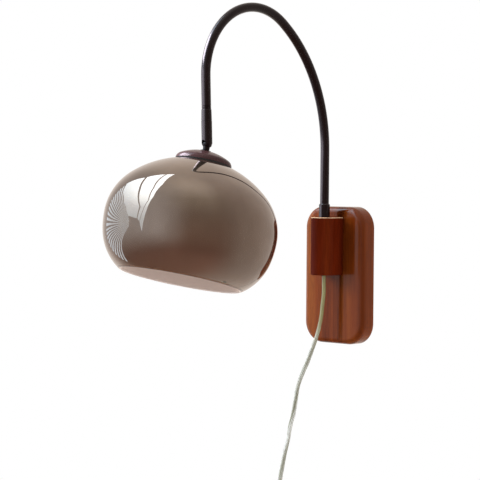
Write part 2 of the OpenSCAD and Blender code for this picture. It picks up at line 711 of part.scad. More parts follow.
module stem_nut() color("silver") in_head() translate([0, 0, stem_nut_z0]) difference() {
  cylinder(r = stem_nut_af / 2 / cos(30), h = stem_nut_h, $fn = 6);
  translate([0, 0, -over]) cylinder(r = thread_r + fit_gap, h = stem_nut_h + 2 * over);
}

// Lampholder
module holder_cap() color("black") in_head() rotate_extrude() difference() {
  polygon([[0, holder_z], [holder_boss_r, holder_z], [holder_boss_r, holder_z - holder_boss_h],
    [holder_r - holder_shoulder, holder_z - 2 * holder_boss_h], [holder_r, holder_bend_z], [holder_r, body_z],
    [0, body_z]]);
  polygon([[0, body_z - over], [holder_in, body_z - over], [holder_in, holder_bend_z - 1],
    [holder_in - holder_shoulder, holder_roof_z], [0, holder_roof_z]]);
  band(0, thread_r + fit_gap, body_z, holder_z + over);
}
insert_r = holder_in - fit_gap;
grip_rings = 5;
grip_step = 4;
grip_cut = 0.7;
module holder_body() color("black") in_head() rotate_extrude() difference() {
  band(shell_r + shell_t + fit_gap, holder_r, body_z - holder_body_h, body_z);
  band(0, insert_r + fit_gap, insert_z0, body_z + over);
  for (k = [1 : grip_rings])
    translate([holder_r, body_z - holder_body_h + k * grip_step]) circle(grip_cut, $fn = 4);
}
terminal_x = 9;
terminal_r = 1.75;
terminal_len = 6;
terminal_head_r = 2.8;
terminal_head_h = 1.6;
lead_sink = 4;
lead_rise = 3;
module holder_insert() color("white") difference() {
  in_head() rotate_extrude() band(0, insert_r, insert_z0, body_z);
  at_terminals() translate([0, 0, -terminal_len]) cylinder(r = terminal_r + fit_gap, h = terminal_len + over);
  in_head() translate([0, 0, body_z - lead_sink]) cylinder(r = lead_half + fit_gap, h = lead_sink + over);
}
module screw_shell() color("gold") in_head()
  rotate_extrude() band(shell_r, shell_r + shell_t, insert_z0 - shell_h, insert_z0);
module centre_contact() color("gold") in_head()
  translate([0, 0, insert_z0 - contact_t]) cylinder(r = 4, h = contact_t);
module at_terminals() in_head() for (x = [-1, 1]) translate([x * terminal_x, 0, body_z]) children();
module terminal_screws() color("gold") at_terminals() {
  translate([0, 0, -terminal_len]) cylinder(r = terminal_r, h = terminal_len);
  cylinder(r = terminal_head_r, h = terminal_head_h);
}
module head_lead() color("khaki") in_head() translate([0, 0, body_z - lead_sink])
  linear_extrude(lead_rise - body_z + lead_sink) rotate(90) lead_shape();

// Bulb
bulb_end_r = 9.5;
bulb_cone_h = 3;
thread_pitch = 3.6;
thread_round = 0.9;
module bulb_base() color("silver") in_head() rotate_extrude() difference() {
  polygon([[0, bulb_base_z], [bulb_end_r, bulb_base_z], [bulb_base_d / 2, bulb_base_z - bulb_cone_h],
    [bulb_base_d / 2, bulb_neck_z], [0, bulb_neck_z]]);
  for (k = [0 : 3]) translate([bulb_base_d / 2 + thread_round / 3, bulb_base_z - 5 - thread_pitch * k])
    circle(thread_round, $fn = 24);
}
bulb_tip_r = 3.6;
bulb_tip_edge = 1.2;
module bulb_contact() color("dimgray") in_head() rotate_extrude() polygon([
  [0, bulb_tip_z], [bulb_tip_r, bulb_tip_z], [bulb_tip_r + bulb_tip_edge, bulb_tip_z - bulb_tip_edge],
  [bulb_end_r - 0.5, bulb_base_z], [0, bulb_base_z]
]);
module bulb_shape(inset) translate([0, 0, bulb_c_z]) {
  sphere(bulb_d / 2 - inset);
  translate([0, 0, bulb_flare_z])
    cylinder(r1 = bulb_flare_r - inset, r2 = bulb_base_d / 2 - inset, h = bulb_reach - bulb_flare_z);
}
module bulb_glass() color("white") in_head() difference() {
  bulb_shape(0);
  bulb_shape(bulb_t);
  translate([0, 0, bulb_neck_z - over]) cylinder(r = bulb_base_d / 2 - 2 * bulb_t, h = 2 * over);
}

// Cord, inline switch and plug
module cord_drop() color("olive") swept([for (p = DROP) cord_at + p], cord_r, 10, [1, 0, 0]);
module switch_shape() {
  intersection() {
    rotate([90, 0, 0]) linear_extrude(switch_dep, center = true)
      rrect(switch_w, switch_len, switch_w / 2 - 1);
    rotate([90, 0, 90]) linear_extrude(switch_w, center = true)
      rrect(switch_dep, switch_len, switch_dep / 2 - 2);
  }
  cylinder(r = switch_neck_d / 2, h = switch_full, center = true);
}
switch_screw_z = switch_len / 2 - 9;
switch_screw_r = 1.4;
switch_head_r = 2.6;
switch_head_h = 1.2;
switch_screw_grip = 3;
module switch_screw(gap) rotate([90, 0, 0]) translate([0, 0, switch_head_h - switch_dep / 2]) {
  mirror([0, 0, 1]) cylinder(r = switch_head_r + gap, h = switch_head_h + (gap > 0 ? over : 0));
  cylinder(r = switch_screw_r + gap, h = switch_dep / 2 + switch_screw_grip + gap);
}
module at_switch_screws() for (s = [-1, 1]) translate([0, 0, s * switch_screw_z]) children();
module switch_base() color("white") translate(switch_c) difference() {
  intersection() {
    switch_shape();
    translate([-switch_w, 0, -switch_full]) cube([2 * switch_w, switch_dep, 2 * switch_full]);
  }
  at_switch_screws() switch_screw(fit_gap);
}
pivot_r = 1.2;
pivot_len = rocker_w + 4;
module at_rocker() translate([0, -rocker_out, 0]) rotate([rocker_rest, 0, 0]) children();
module switch_cover() color("white") translate(switch_c) difference() {
  intersection() {
    switch_shape();
    translate([-switch_w, -switch_dep, -switch_full]) cube([2 * switch_w, switch_dep, 2 * switch_full]);
  }
  translate([-rocker_w / 2 - free_gap, -switch_dep, -rocker_len / 2 - 2 * free_gap])
    cube([rocker_w + 2 * free_gap, switch_dep - 1.2, rocker_len + 4 * free_gap]);
  translate([0, -rocker_out, 0]) rotate([0, 90, 0])
    cylinder(r = pivot_r + run_gap, h = pivot_len + 2 * free_gap, center = true);
  at_switch_screws() switch_screw(fit_gap);
}
rocker_end_h = 3.2;
rocker_mid_h = 4.6;
rocker_foot = 2.4;
module switch_rocker() color("dimgray") translate(switch_c) at_rocker() {
  half = rocker_len / 2;
  rotate([90, 0, 90]) linear_extrude(rocker_w, center = true) polygon([
    [-rocker_end_h, -half], [-rocker_mid_h, 0], [-rocker_end_h, half],
    [1, half - 1], [rocker_foot, 0], [1, 1 - half]
  ]);
  rotate([0, 90, 0]) cylinder(r = pivot_r, h = pivot_len, center = true);
}
module switch_screws() color("silver") translate(switch_c) at_switch_screws() switch_screw(0);
module cord_coil() color("olive") swept(COIL, cord_r, 6, [0, 1, 0]);
tie_in = coil_rad(coil_mid) - cord_r - free_gap;
tie_out = coil_rad(0.5) + cord_r + free_gap;
tie_dep = coil_step + cord_d + 2 * free_gap;
tie_corner = 1;
module cord_tie() color("black") translate(coil_c + [(tie_in + tie_out) / 2, coil_step / 2, 0])
  linear_extrude(tie_w, center = true) difference() {
    rrect(tie_out - tie_in + 2 * tie_t, tie_dep + 2 * tie_t, tie_t + tie_corner);
    rrect(tie_out - tie_in, tie_dep, tie_corner);
  }
// Plug: the outline seen from the front crossed with the outline seen from the side
plug_neck = 12;
plug_shoulder = 22;
plug_neck_r = 5;
plug_waist_r = 7;
pin_root = 10;
pin_edge = 0.8;
module plug_front() {
  w = plug_w / 2;
  polygon([[-plug_neck_r, 0], [plug_neck_r, 0], [plug_waist_r, -plug_neck], [w, -plug_shoulder],
    [w, -plug_len], [-w, -plug_len], [-w, -plug_shoulder], [-plug_waist_r, -plug_neck]]);
}
module plug_side() {
  d = plug_dep / 2;
  neck = plug_neck_r - break_edge;
  polygon([[-neck, 0], [neck, 0], [d, -plug_neck - 2], [d, 1 - plug_len], [d - 1, -plug_len],
    [1 - d, -plug_len], [-d, 1 - plug_len], [-d, -plug_neck - 2]]);
}
module at_plug_pins() translate(plug_top) for (x = [-1, 1])
  translate([x * pin_gap / 2, 0, -plug_len]) children();
module plug_body() color("white") difference() {
  translate(plug_top) intersection() {
    rotate([90, 0, 0]) linear_extrude(plug_dep, center = true) plug_front();
    rotate([90, 0, 90]) linear_extrude(plug_w, center = true) plug_side();
  }
  at_plug_pins() translate([0, 0, -over]) cylinder(r = pin_d / 2 + fit_gap, h = pin_root + over);
}
module plug_pins() color("silver") at_plug_pins() rotate_extrude() polygon([
  [0, -pin_len], [pin_d / 2 - pin_edge, -pin_len], [pin_d / 2, pin_edge - pin_len], [pin_d / 2, pin_root],
  [0, pin_root]
]);

wall_plate();
hanger_plate();
hanger_screws();
arm_block();
block_screws();
pivot_bush();
cord_bushing();
cord_tail();
arm_tube();
arm_collar();
collar_set_screw();
pivot_washer();
spring_washer();
arm_nut();
arm_lead();
joint_nipple();
lock_ring();
joint_coupling();
swivel_clip();
joint_sleeve();
ball_seat();
joint_lead();
joint_ball();
shade_cap();
cap_gasket();
shade_glass();
inner_gasket();
clamp_disc();
stem_nut();
holder_cap();
holder_body();
holder_insert();
screw_shell();
centre_contact();
terminal_screws();
head_lead();
bulb_base();
bulb_contact();
bulb_glass();
cord_drop();
switch_base();
switch_cover();
switch_rocker();
switch_screws();
cord_coil();
cord_tie();
plug_body();
plug_pins();
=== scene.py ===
# Wall sconce: lacquered wood plate and block, bent arm, smoked glass shade, clear twin cord.
# Metres, Z up, the wall is the plane y = 0 and the lamp stands out along -Y.
import json
import math

import bpy
from mathutils import Matrix, Vector


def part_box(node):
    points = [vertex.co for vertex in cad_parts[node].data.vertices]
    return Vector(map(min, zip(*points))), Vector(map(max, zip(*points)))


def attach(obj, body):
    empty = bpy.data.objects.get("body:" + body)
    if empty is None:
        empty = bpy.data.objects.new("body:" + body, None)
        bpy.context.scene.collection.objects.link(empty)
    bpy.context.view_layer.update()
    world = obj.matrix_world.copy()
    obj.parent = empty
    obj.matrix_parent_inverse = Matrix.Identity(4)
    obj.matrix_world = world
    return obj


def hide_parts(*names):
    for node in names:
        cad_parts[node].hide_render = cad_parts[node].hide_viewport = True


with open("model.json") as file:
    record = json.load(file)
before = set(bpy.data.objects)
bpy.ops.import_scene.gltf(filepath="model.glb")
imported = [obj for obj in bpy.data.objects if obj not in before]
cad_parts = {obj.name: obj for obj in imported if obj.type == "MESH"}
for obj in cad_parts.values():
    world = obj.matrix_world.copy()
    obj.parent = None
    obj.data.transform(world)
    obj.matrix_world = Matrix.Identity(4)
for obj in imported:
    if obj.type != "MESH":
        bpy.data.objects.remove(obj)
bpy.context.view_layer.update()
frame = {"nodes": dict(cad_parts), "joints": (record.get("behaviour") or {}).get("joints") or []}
NODES = frame["nodes"]
JOINTS = {joint["name"]: joint for joint in frame["joints"]}


# Camera at the photograph's place
CAMERA_AT = Vector((1.6617, -1.9228, 0.1355))
CAMERA_LOOK = Vector((-0.69492, 0.71822, -0.03515))
CAMERA_ROLL = math.radians(0.41)
CAMERA_LENS = 139.4
SENSOR_WIDTH = 36
VIEW_ENDS = 50


def add_camera():
    data = bpy.data.cameras.new("photo_camera")
    data.lens = CAMERA_LENS
    data.sensor_width = SENSOR_WIDTH
    data.sensor_fit = "HORIZONTAL"
    data.clip_end = VIEW_ENDS
    camera = bpy.data.objects.new("photo_camera", data)
    turn = CAMERA_LOOK.to_track_quat("-Z", "Y").to_matrix() @ Matrix.Rotation(CAMERA_ROLL, 3, "Z")
    camera.matrix_world = Matrix.Translation(CAMERA_AT) @ turn.to_4x4()
    bpy.context.scene.collection.objects.link(camera)
    bpy.context.scene.camera = camera


add_camera()


# Modelling helpers
MERGE_WITHIN = 1e-6


def deselect_all():
    if bpy.context.mode != "OBJECT":
        bpy.ops.object.mode_set(mode="OBJECT")
    bpy.ops.object.select_all(action="DESELECT")


def make_active(piece):
    deselect_all()
    piece.select_set(True)
    bpy.context.view_layer.objects.active = piece


def mesh_piece(name, points, edges=(), faces=()):
    mesh = bpy.data.meshes.new(name)
    mesh.from_pydata(points, edges, faces)
    piece = bpy.data.objects.new(name, mesh)
    bpy.context.scene.collection.objects.link(piece)
    make_active(piece)
    return piece


def arc(centre, radius, start, end, steps):
    """Points of an arc in the r-z plane, angles in degrees."""
    angles = [math.radians(start + (end - start) * k / steps) for k in range(steps + 1)]
    return [(centre[0] + radius * math.cos(a), centre[1] + radius * math.sin(a)) for a in angles]


def spun(name, profile, steps, closed=True):
    """A profile of (r, z) points, spun about Z."""
    points = [(r, 0, z) for r, z in profile]
    count = len(points)
    last = count if closed else count - 1
    piece = mesh_piece(name, points, [(k, (k + 1) % count) for k in range(last)])
    bpy.ops.object.mode_set(mode="EDIT")
    bpy.ops.mesh.select_all(action="SELECT")
    bpy.ops.mesh.spin(steps=steps, angle=2 * math.pi, center=(0, 0, 0), axis=(0, 0, 1))
    bpy.ops.mesh.select_all(action="SELECT")
    bpy.ops.mesh.remove_doubles(threshold=MERGE_WITHIN)
    bpy.ops.mesh.normals_make_consistent(inside=False)
    bpy.ops.object.mode_set(mode="OBJECT")
    return piece


def put_in(piece, place):
    """Moves the piece by a matrix and keeps its place in its mesh."""
    make_active(piece)
    piece.matrix_world = place
    bpy.ops.object.transform_apply(location=True, rotation=True, scale=True)


# Cord: straight at the block, then twisting, through the switch and into its coil
CORD_EXIT = Vector((0, -0.042, 0.001))
# Places down the cord, from its exit to the top of the switch
CORD_DROP = [
    (0, 0, 0), (0, 0, -0.012), (0, 0, -0.026), (-0.001, -0.001, -0.040), (-0.002, -0.002, -0.055),
    (-0.004, -0.004, -0.070), (-0.007, -0.007, -0.086), (-0.011, -0.011, -0.102), (-0.015, -0.015, -0.118),
    (-0.020, -0.020, -0.135), (-0.024, -0.024, -0.152), (-0.026, -0.026, -0.170), (-0.028, -0.028, -0.188),
    (-0.031, -0.031, -0.206), (-0.033, -0.033, -0.224), (-0.036, -0.036, -0.242), (-0.038, -0.038, -0.258),
    (-0.040, -0.040, -0.275), (-0.041, -0.041, -0.290), (-0.041, -0.041, -0.302), (-0.041, -0.041, -0.313),
]
SWITCH_TOP = CORD_EXIT + Vector(CORD_DROP[-1])
SWITCH_LENGTH = 0.070
CORD_WIDTH = 0.006
INSIDE_SWITCH = 0.5  # share of the width that is left there
COIL_LEAD = 0.038  # from the switch to the coil
COIL_R = 0.045  # middle of the outer turn
COIL_STEP = 0.0065  # between turns, and between the two layers
COIL_TURNS_IN = 3
COIL_CLIMB = 0.5  # turns in which the coil climbs a layer
COIL_TAIL = 0.040  # from the coil to the plug
LOBE_R = 0.0025  # radius of one core
LOBE_SIDE = CORD_WIDTH / 2 - LOBE_R
LOBE_POINTS = 10
LOBE_DEG = 150  # a core is round this far to either side
RING_STEP = 0.002
TWIST_STARTS = 0.075  # along the cord
TWIST_PITCH = 0.15  # length of one full twist
TWIST_AT_EXIT = math.radians(45)
CORD_MAP = "along_and_round"


def smooth_run(points, step):
    """Points of a smooth curve through the given ones, about one step apart."""
    ends = [2 * points[0] - points[1]] + points + [2 * points[-1] - points[-2]]
    run = []
    for a, b, c, d in zip(ends, ends[1:], ends[2:], ends[3:]):
        count = max(1, round((c - b).length / step))
        for k in range(count):
            t = k / count
            run.append(0.5 * (2 * b + (c - a) * t + (2 * a - 5 * b + 4 * c - d) * t * t
                              + (3 * b - a - 3 * c + d) * t ** 3))
    return run + [points[-1]]


def coil_run(centre):
    """Turns that spiral in, climb a layer and spiral out again."""
    middle = COIL_TURNS_IN + COIL_CLIMB / 2
    turns = 2 * COIL_TURNS_IN
    count = round(turns * 2 * math.pi * COIL_R / RING_STEP)
    run = []
    for k in range(count + 1):
        t = turns * k / count
        radius = COIL_R - COIL_STEP * min(t, 2 * middle - t)
        lift = COIL_STEP * min(1, max(0, (t - COIL_TURNS_IN) / COIL_CLIMB))
        angle = math.pi + 2 * math.pi * t
        run.append(centre + Vector((radius * math.cos(angle), lift, radius * math.sin(angle))))
    return run


def straight(start, end):
    count = max(2, round((end - start).length / RING_STEP))
    return [start.lerp(end, k / count) for k in range(1, count + 1)]


def cord_route():
    drop = smooth_run([CORD_EXIT + Vector(p) for p in CORD_DROP], RING_STEP)
    switch_end = drop[-1] - Vector((0, 0, SWITCH_LENGTH))
    coil_starts = switch_end - Vector((0, 0, COIL_LEAD))
    coil = coil_run(coil_starts + Vector((COIL_R, 0, 0)))
    plug_top = coil[-1] - Vector((0, 0, COIL_TAIL))
    return (drop + straight(drop[-1], switch_end) + straight(switch_end, coil_starts)
            + coil[1:] + straight(coil[-1], plug_top))


def lobe_ring():
    """Section of the twin cord: two round cores side by side, as (across, thick) points."""
    ring = []
    for side in (1, -1):
        for k in range(LOBE_POINTS):
            angle = math.radians(-LOBE_DEG + 2 * LOBE_DEG * k / (LOBE_POINTS - 1))
            ring.append((side * (LOBE_SIDE + LOBE_R * math.cos(angle)), side * LOBE_R * math.sin(angle)))
    return ring


def share_of_width(place):
    """The cord is full outside the switch and narrower inside it, where its cores part."""
    below = SWITCH_TOP.z - place.z
    hidden = abs(place.x - SWITCH_TOP.x) < RING_STEP and 0 < below < SWITCH_LENGTH
    depth = min(below, SWITCH_LENGTH - below) if hidden else 0
    return 1 - (1 - INSIDE_SWITCH) * min(1, depth / CORD_WIDTH)


def cord_rings(route, ring):
    """The section's points at every place of the route, and the length of cord up to each place."""
    points = []
    along = []
    run = 0.0
    side = Vector((1, 0, 0))
    for k, place in enumerate(route):
        ahead = (route[min(k + 1, len(route) - 1)] - route[max(k - 1, 0)]).normalized()
        side = (side - side.dot(ahead) * ahead).normalized()
        if k:
            run += (place - route[k - 1]).length
        along.append(run)
        twist = TWIST_AT_EXIT + 2 * math.pi * max(0, run - TWIST_STARTS) / TWIST_PITCH
        across = math.cos(twist) * side + math.sin(twist) * ahead.cross(side)
        thick = ahead.cross(across)
        grow = share_of_width(place)
        points += [place + grow * (u * across + v * thick) for u, v in ring]
    return points, along


def tube_faces(rings, size):
    """Faces between rings of one size, and a cap on each end."""
    faces = []
    for k in range(rings - 1):
        for j in range(size):
            a = k * size + j
            b = k * size + (j + 1) % size
            faces.append((a, a + size, b + size, b))
    last = (rings - 1) * size
    return faces + [tuple(range(size)), tuple(reversed(range(last, last + size)))]


def map_cord(piece, along, size):
    """A map of the metres along the cord and the share of the way round it."""
    uv = piece.data.uv_layers.new(name=CORD_MAP)
    for face in piece.data.polygons:
        rounds = [v % size for v in face.vertices]
        wraps = 0 in rounds and size - 1 in rounds
        for loop, place in zip(face.loop_indices, rounds):
            length = along[piece.data.loops[loop].vertex_index // size]
            uv.data[loop].uv = (length, (size if wraps and place == 0 else place) / size)


def add_cord():
    route = cord_route()
    ring = lobe_ring()
    points, along = cord_rings(route, ring)
    piece = mesh_piece("twin_cord", points, faces=tube_faces(len(route), len(ring)))
    map_cord(piece, along, len(ring))
    bpy.ops.object.mode_set(mode="EDIT")
    bpy.ops.mesh.select_all(action="SELECT")
    bpy.ops.mesh.normals_make_consistent(inside=False)
    bpy.ops.object.mode_set(mode="OBJECT")
    bpy.ops.object.shade_smooth()
    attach(piece, "wall_side")
    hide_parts("cord_drop", "cord_coil")
    return piece


cord = add_cord()


# Shade: the glass as one blown shell with a fire-polished rim, drawn from its widest ring
BALL_AT = Vector(JOINTS["head_tilt"]["pos_m"])
ARM_LEAN = math.radians(2)
HEAD_TURN = math.radians(-4.5)
HEAD_TILT = math.radians(-16)
IN_HEAD = (Matrix.Translation(BALL_AT) @ Matrix.Rotation(ARM_LEAN, 4, "X")
           @ Matrix.Rotation(HEAD_TURN, 4, "Z") @ Matrix.Rotation(HEAD_TILT, 4, "X"))
SHADE_R = 0.110
SHADE_UP = 0.087  # from the widest ring to the top
SHOULDER_R = 0.072
SHADE_DOWN = 0.068  # from the widest ring to the mouth
MOUTH_R = 0.078
FLANK_R = 0.118  # arc just under the widest ring
FLANK_DEG = 13
GLASS_T = 0.003
GLASS_HOLE_R = 0.021
HOLE_SLACK = 0.0002  # finds the faces in the hole
RIM_HEIGHT = 0.7 * GLASS_T  # of the polished edge over the mouth
RIM_LEAN = 0.2  # how far a face of that edge leans outward at least
DOME_STEPS = 22
SHOULDER_STEPS = 20
FLANK_STEPS = 8
HEM_STEPS = 20
RIM_STEPS = 6
SPIN_STEPS = 144
SHADE_SMOOTH = math.radians(40)
OUTER_FACE, INNER_FACE, EDGE_FACE = range(3)


def glass_line(depth):
    """Points down the glass at a depth under its outer face, from the hole to the mouth."""
    shoulder_x = SHADE_R - SHOULDER_R
    dome_r = (shoulder_x ** 2 + SHADE_UP ** 2 - SHOULDER_R ** 2) / (2 * (SHADE_UP - SHOULDER_R))
    dome_end = math.degrees(math.atan2(dome_r - SHADE_UP, shoulder_x))
    dome_start = math.degrees(math.acos(GLASS_HOLE_R / (dome_r - depth)))
    flank = math.radians(FLANK_DEG)
    end_r = SHADE_R - FLANK_R + FLANK_R * math.cos(flank)
    end_z = FLANK_R * math.sin(flank)
    dx = MOUTH_R - end_r
    dz = SHADE_DOWN - end_z
    hem_r = -(dx * dx + dz * dz) / (2 * (dx * math.cos(flank) + dz * math.sin(flank)))
    hem_c = (end_r - hem_r * math.cos(flank), hem_r * math.sin(flank) - end_z)
    mouth = math.degrees(math.atan2(-SHADE_DOWN - hem_c[1], MOUTH_R - hem_c[0]))
    return (arc((0, SHADE_UP - dome_r), dome_r - depth, dome_start, dome_end, DOME_STEPS)
            + arc((shoulder_x, 0), SHOULDER_R - depth, dome_end, 0, SHOULDER_STEPS)[1:]
            + arc((SHADE_R - FLANK_R, 0), FLANK_R - depth, 0, -FLANK_DEG, FLANK_STEPS)[1:]
            + arc(hem_c, hem_r - depth, -FLANK_DEG, mouth, HEM_STEPS)[1:])


def head_top(node):
    """Height of a node's highest point over the ball, along the head's own axis."""
    to_head = IN_HEAD.inverted()
    return max((to_head @ vertex.co).z for vertex in NODES[node].data.vertices)


WIDE_Z = head_top("shade_glass") - glass_line(0)[0][1]


def glass_profile():
    """The whole wall of the glass: down its outside, round the rim and up its inside."""
    outside = glass_line(0)
    inside = glass_line(GLASS_T)
    tip = Vector(outside[-1])
    root = Vector(inside[-1])
    middle = (tip + root) / 2
    out = (tip - root).normalized()
    down = Vector((out.y, -out.x))
    turns = [math.pi * k / RIM_STEPS for k in range(1, RIM_STEPS)]
    rim = [middle + GLASS_T / 2 * (math.cos(a) * out + math.sin(a) * down) for a in turns]
    return outside + [tuple(p) for p in rim] + inside[::-1]


def glass_finish(face):
    """Which of the shade's three finishes a face of the unplaced shell has."""
    away = face.center - Vector((0, 0, WIDE_Z))
    near_mouth = face.center.z - WIDE_Z < -SHADE_DOWN + RIM_HEIGHT
    near_hole = math.hypot(face.center.x, face.center.y) < GLASS_HOLE_R + HOLE_SLACK
    outward = face.normal.dot(Vector((away.x, away.y, 0)).normalized()) > RIM_LEAN
    if near_hole or near_mouth and outward:
        return EDGE_FACE
    if near_mouth or face.normal.dot(away) < 0:
        return INNER_FACE
    return OUTER_FACE


def add_shade(outer, inner, edge):
    piece = spun("smoked_shade", [(r, z + WIDE_Z) for r, z in glass_profile()], SPIN_STEPS)
    for material in (outer, inner, edge):
        piece.data.materials.append(material)
    for face in piece.data.polygons:
        face.material_index = glass_finish(face)
    put_in(piece, IN_HEAD)
    bpy.ops.object.shade_smooth_by_angle(angle=SHADE_SMOOTH)
    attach(piece, "head")
    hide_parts("shade_glass")


# Slotted wood screws in the plate's back
HEAD_R = 0.0038
HEAD_H = 0.0024
SHANK_R = 0.0019
SCREW_POINT = 0.004
SCREW_STEPS = 32
SCREW_SMOOTH = math.radians(30)
SLOT_W = 0.0011
SLOT_DEEP = 0.0011
SLOT_LONG = 3 * HEAD_R
SLOT_TURNS = (20, 75, 140, 5)  # degrees, one for each screw


def line_ends(low, high):
    """Middles of the first and last head in a row, or the one middle of a single head."""
    first = low + HEAD_R
    last = high - HEAD_R
    return (first, last) if last - first > HEAD_R else ((low + high) / 2,)


def cut_slot(screw):
    deselect_all()
    bpy.ops.mesh.primitive_cube_add(size=1)
    cutter = bpy.context.object
    cutter.scale = (SLOT_W, SLOT_LONG, 2 * SLOT_DEEP)
    bpy.ops.object.transform_apply(location=False, rotation=False, scale=True)
    make_active(screw)
    slot = screw.modifiers.new("slot", "BOOLEAN")
    slot.operation = "DIFFERENCE"
    slot.solver = "EXACT"
    slot.object = cutter
    bpy.ops.object.modifier_apply(modifier="slot")
    bpy.data.objects.remove(cutter)


def add_screws(name, node, metal):
    """Screws with their heads in the plate's back, at the corners of the box of the node they replace."""
    low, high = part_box(node)
    length = high[1] - low[1]
    profile = [(0, 0), (HEAD_R, 0), (SHANK_R, -HEAD_H), (SHANK_R, SCREW_POINT - length), (0, -length)]
    first = spun(name, profile, SCREW_STEPS, closed=False)
    cut_slot(first)
    places = [(x, high[1], z) for x in line_ends(low[0], high[0]) for z in line_ends(low[2], high[2])]
    screws = [first]
    for _ in places[1:]:
        screws.append(first.copy())
        screws[-1].data = first.data.copy()
        bpy.context.scene.collection.objects.link(screws[-1])
    for screw, place, turn in zip(screws, places, SLOT_TURNS):
        facing = Matrix.Rotation(-math.pi / 2, 4, "X") @ Matrix.Rotation(math.radians(turn), 4, "Z")
        put_in(screw, Matrix.Translation(place) @ facing)
    make_active(first)
    for screw in screws:
        screw.select_set(True)
    bpy.ops.object.join()
    bpy.ops.object.shade_smooth_by_angle(angle=SCREW_SMOOTH)
    first.data.materials.append(metal)
    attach(first, "wall_side")
    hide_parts(node)


# Node helpers
MIX_FACTOR, MIX_A, MIX_B = 0, 6, 7
MIX_RESULT = 2


def add_node(tree, kind, **settings):
    node = tree.nodes.new(kind)
    for key, value in settings.items():
        setattr(node, key, value)
    return node


def set_inputs(node, **values):
    for key, value in values.items():
        node.inputs[key.replace("_", " ")].default_value = value


def new_group(name, inputs, outputs):
    tree = bpy.data.node_groups.new(name, "ShaderNodeTree")
    for label, value in inputs.items():
        socket = tree.interface.new_socket(label, in_out="INPUT", socket_type="NodeSocketFloat")
        socket.default_value = value
    for label in outputs:
        tree.interface.new_socket(label, in_out="OUTPUT", socket_type="NodeSocketFloat")
    return tree, tree.nodes.new("NodeGroupInput"), tree.nodes.new("NodeGroupOutput")


def object_place(tree):
    return add_node(tree, "ShaderNodeTexCoord").outputs["Object"]


def axes(tree, vector):
    """The x, y and z of a vector."""
    node = add_node(tree, "ShaderNodeSeparateXYZ")
    tree.links.new(vector, node.inputs["Vector"])
    return node.outputs["X"], node.outputs["Y"], node.outputs["Z"]


def stretched(tree, vector, **settings):
    node = add_node(tree, "ShaderNodeMapping")
    set_inputs(node, **settings)
    tree.links.new(vector, node.inputs["Vector"])
    return node.outputs["Vector"]


def add_noise(tree, vector, scale, detail, roughness):
    node = add_node(tree, "ShaderNodeTexNoise", noise_dimensions="3D")
    set_inputs(node, Detail=detail, Roughness=roughness)
    tree.links.new(vector, node.inputs["Vector"])
    tree.links.new(scale, node.inputs["Scale"])
    return node


def ramp(tree, source, stops):
    node = add_node(tree, "ShaderNodeValToRGB")
    elements = node.color_ramp.elements
    while len(elements) < len(stops):
        elements.new(0.5)
    for element, (place, colour) in zip(elements, stops):
        element.position = place
        element.color = (*colour, 1)
    tree.links.new(source, node.inputs["Fac"])
    return node.outputs["Color"]


def spread(tree, source, between=(0, 1), to=(0, 1), smooth=False):
    """A value that goes over one range while its source goes over another."""
    node = add_node(tree, "ShaderNodeMapRange", interpolation_type="SMOOTHSTEP" if smooth else "LINEAR")
    set_inputs(node, From_Min=between[0], From_Max=between[1], To_Min=to[0], To_Max=to[1])
    tree.links.new(source, node.inputs["Value"])
    return node.outputs["Result"]


def mix_colour(tree, factor, a, b, blend="MIX"):
    """Mixes two colours; each value is a socket, a number or a colour."""
    node = add_node(tree, "ShaderNodeMix", data_type="RGBA", blend_type=blend)
    for value, place in ((factor, MIX_FACTOR), (a, MIX_A), (b, MIX_B)):
        socket = node.inputs[place]
        if isinstance(value, bpy.types.NodeSocket):
            tree.links.new(value, socket)
        elif isinstance(value, (int, float)):
            socket.default_value = value
        else:
            socket.default_value = (*value, 1)
    return node.outputs[MIX_RESULT]


# Shared effects
GRAIN_STRETCH = (1, 1, 0.055)
GRAIN_SHIFT = (0.31, 0.17, 0.0)
PORES_PER_METRE = (900, 900, 55)
PORE_EDGE = (0.12, 0.3)


def lengthwise_grain():
    """Wood grain that runs along Z: wide tone bands, fine fibres and short pores."""
    given = {"Bands": 14.0, "Fibres": 420.0, "Wander": 0.9}
    tree, start, end = new_group("lengthwise grain", given, ["Tone", "Fibre", "Pores"])
    place = object_place(tree)
    along = stretched(tree, place, Scale=GRAIN_STRETCH, Location=GRAIN_SHIFT)
    bands = add_noise(tree, along, start.outputs["Bands"], detail=5, roughness=0.55)
    tree.links.new(start.outputs["Wander"], bands.inputs["Distortion"])
    fibres = add_noise(tree, along, start.outputs["Fibres"], detail=3, roughness=0.6)
    cells = add_node(tree, "ShaderNodeTexVoronoi", feature="F1")
    set_inputs(cells, Scale=1.0, Randomness=1.0)
    tree.links.new(stretched(tree, place, Scale=PORES_PER_METRE), cells.inputs["Vector"])
    pores = spread(tree, cells.outputs["Distance"], between=PORE_EDGE, to=(1, 0))
    tree.links.new(bands.outputs["Fac"], end.inputs["Tone"])
    tree.links.new(fibres.outputs["Fac"], end.inputs["Fibre"])
    tree.links.new(pores, end.inputs["Pores"])
    return tree


def mottle():
    """Slow cloudiness and fine grain of a finish."""
    tree, start, end = new_group("finish mottle", {"Cloud": 40.0, "Grain": 1800.0}, ["Cloud", "Grain"])
    place = object_place(tree)
    for label, detail in (("Cloud", 4), ("Grain", 2)):
        noise = add_noise(tree, place, start.outputs[label], detail, roughness=0.6)
        tree.links.new(noise.outputs["Fac"], end.inputs[label])
    return tree


GRAIN = lengthwise_grain()
MOTTLE = mottle()


